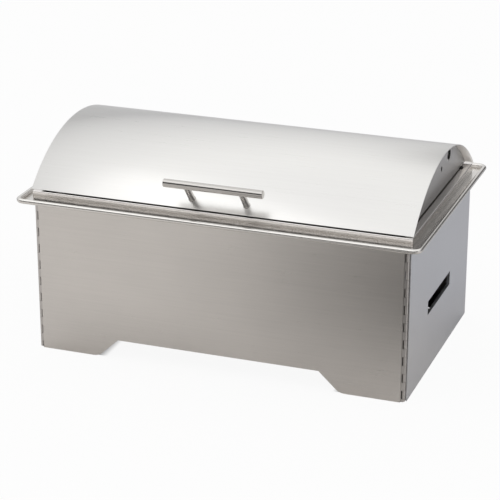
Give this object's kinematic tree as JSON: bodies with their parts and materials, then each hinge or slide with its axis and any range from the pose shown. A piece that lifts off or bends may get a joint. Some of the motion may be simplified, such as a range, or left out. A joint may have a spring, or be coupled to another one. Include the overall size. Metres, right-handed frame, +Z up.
{
  "type": "chafing dish food warmer",
  "caption": "Stainless steel buffet food warmer with a folding stand, water and food pans, fuel burners and a hinged domed lid with a bar handle",
  "frame": {"origin": "on the floor, midway across the overall length and depth", "axes": "+X along the length to the right as seen from the front, +Y to the rear, +Z up"},
  "size_m": [0.5992, 0.3818, 0.3128],
  "materials": {
    "bumper_front_left": "matte black rubber",
    "bumper_front_right": "matte black rubber",
    "bumper_rear_left": "matte black rubber",
    "bumper_rear_right": "matte black rubber",
    "food_pan": "satin, brushed along its length",
    "front_panel": "satin, brushed along its length",
    "fuel_can_left": "plain grey enamel",
    "fuel_can_right": "plain grey enamel",
    "fuel_holder_left": "satin, brushed along its length",
    "fuel_holder_right": "satin, brushed along its length",
    "fuel_tray": "satin, brushed along its length",
    "handle_bar": "polished",
    "handle_post_left": "polished",
    "handle_post_right": "polished",
    "handle_screw_left": "satin, brushed along its length",
    "handle_screw_right": "satin, brushed along its length",
    "handle_washer_left": "satin, brushed along its length",
    "handle_washer_right": "satin, brushed along its length",
    "hinge_front_left_panel_leaf": "satin, brushed along its length",
    "hinge_front_left_pin": "satin, brushed along its length",
    "hinge_front_left_wing_leaf": "satin, brushed along its length",
    "hinge_front_right_panel_leaf": "satin, brushed along its length",
    "hinge_front_right_pin": "satin, brushed along its length",
    "hinge_front_right_wing_leaf": "satin, brushed along its length",
    "hinge_rear_left_panel_leaf": "satin, brushed along its length",
    "hinge_rear_left_pin": "satin, brushed along its length",
    "hinge_rear_left_wing_leaf": "satin, brushed along its length",
    "left_side_panel": "satin, brushed along its length",
    "lid_collar": "satin, brushed along its length",
    "lid_dome": "satin, brushed along its length",
    "lid_end_left": "satin, brushed along its length",
    "lid_end_right": "satin, brushed along its length",
    "lid_hinge_left_lower_leaf": "satin, brushed along its length",
    "lid_hinge_left_pin": "satin, brushed along its length",
    "lid_hinge_left_upper_leaf": "satin, brushed along its length",
    "lid_hinge_right_lower_leaf": "satin, brushed along its length",
    "lid_hinge_right_pin": "satin, brushed along its length",
    "lid_hinge_right_upper_leaf": "satin, brushed along its length",
    "rear_panel": "satin, brushed along its length",
    "right_side_panel": "satin, brushed along its length",
    "snuffer_left": "satin, brushed along its length",
    "snuffer_pivot_left": "satin, brushed along its length",
    "snuffer_pivot_right": "satin, brushed along its length",
    "snuffer_right": "satin, brushed along its length",
    "top_frame": "satin, brushed along its length",
    "top_frame_skirt": "satin, brushed along its length",
    "water_pan": "satin, brushed along its length"
  },
  "bodies": {
    "stand": {"front_panel": "front_panel", "hinge_front_left_panel_leaf": "hinge_front_left_panel_leaf", "hinge_front_left_pin": "hinge_front_left_pin", "hinge_front_right_panel_leaf": "hinge_front_right_panel_leaf", "hinge_front_right_pin": "hinge_front_right_pin"},
    "left_wing": {"left_side_panel": "left_side_panel", "hinge_front_left_wing_leaf": "hinge_front_left_wing_leaf", "hinge_rear_left_wing_leaf": "hinge_rear_left_wing_leaf", "hinge_rear_left_pin": "hinge_rear_left_pin"},
    "rear_door": {"rear_panel": "rear_panel", "hinge_rear_left_panel_leaf": "hinge_rear_left_panel_leaf"},
    "right_wing": {"right_side_panel": "right_side_panel", "hinge_front_right_wing_leaf": "hinge_front_right_wing_leaf"},
    "frame": {"top_frame": "top_frame", "top_frame_skirt": "top_frame_skirt"},
    "water_pan": {"water_pan": "water_pan"},
    "food_pan": {"food_pan": "food_pan"},
    "collar": {"lid_collar": "lid_collar", "lid_hinge_left_lower_leaf": "lid_hinge_left_lower_leaf", "lid_hinge_right_lower_leaf": "lid_hinge_right_lower_leaf", "lid_hinge_left_pin": "lid_hinge_left_pin", "lid_hinge_right_pin": "lid_hinge_right_pin", "bumper_front_left": "bumper_front_left", "bumper_front_right": "bumper_front_right", "bumper_rear_left": "bumper_rear_left", "bumper_rear_right": "bumper_rear_right"},
    "lid": {"lid_dome": "lid_dome", "lid_end_left": "lid_end_left", "lid_end_right": "lid_end_right", "lid_hinge_left_upper_leaf": "lid_hinge_left_upper_leaf", "lid_hinge_right_upper_leaf": "lid_hinge_right_upper_leaf", "handle_bar": "handle_bar", "handle_post_left": "handle_post_left", "handle_post_right": "handle_post_right", "handle_screw_left": "handle_screw_left", "handle_screw_right": "handle_screw_right", "handle_washer_left": "handle_washer_left", "handle_washer_right": "handle_washer_right"},
    "fuel": {"fuel_tray": "fuel_tray", "fuel_holder_left": "fuel_holder_left", "fuel_holder_right": "fuel_holder_right", "fuel_can_left": "fuel_can_left", "fuel_can_right": "fuel_can_right", "snuffer_pivot_left": "snuffer_pivot_left", "snuffer_pivot_right": "snuffer_pivot_right"},
    "left_snuffer": {"snuffer_left": "snuffer_left"},
    "right_snuffer": {"snuffer_right": "snuffer_right"}
  },
  "joints": [
    {"name": "left_wing_fold", "type": "hinge", "parent": "stand", "child": "left_wing", "pos_m": [-0.2754, -0.1655, 0.1], "axis": [0, 0, 1], "range_deg": [0, 90]},
    {"name": "right_wing_fold", "type": "hinge", "parent": "stand", "child": "right_wing", "pos_m": [0.2754, -0.1655, 0.1], "axis": [0, 0, -1], "range_deg": [0, 90]},
    {"name": "rear_door_swing", "type": "hinge", "parent": "left_wing", "child": "rear_door", "pos_m": [-0.2754, 0.1655, 0.1], "axis": [0, 0, 1], "range_deg": [0, 110]},
    {"name": "frame_lift", "type": "slide", "parent": "stand", "child": "frame", "axis": [0, 0, 1], "range_m": [0, 0.12]},
    {"name": "water_pan_lift", "type": "slide", "parent": "frame", "child": "water_pan", "axis": [0, 0, 1], "range_m": [0, 0.12]},
    {"name": "food_pan_lift", "type": "slide", "parent": "water_pan", "child": "food_pan", "axis": [0, 0, 1], "range_m": [0, 0.08]},
    {"name": "collar_lift", "type": "slide", "parent": "food_pan", "child": "collar", "axis": [0, 0, 1], "range_m": [0, 0.08]},
    {"name": "lid_hinge", "type": "hinge", "parent": "collar", "child": "lid", "pos_m": [0, 0.1698, 0.23743], "axis": [-1, 0, 0], "range_deg": [0, 95]},
    {"name": "fuel_tray_slide", "type": "slide", "parent": "stand", "child": "fuel", "axis": [0, 1, 0], "range_m": [0, 0.06]},
    {"name": "left_snuffer_swing", "type": "hinge", "parent": "fuel", "child": "left_snuffer", "pos_m": [-0.0805, 0.008, 0.06], "axis": [0, 0, -1], "range_deg": [0, 110]},
    {"name": "right_snuffer_swing", "type": "hinge", "parent": "fuel", "child": "right_snuffer", "pos_m": [0.1795, 0.008, 0.06], "axis": [0, 0, -1], "range_deg": [0, 110]}
  ]
}
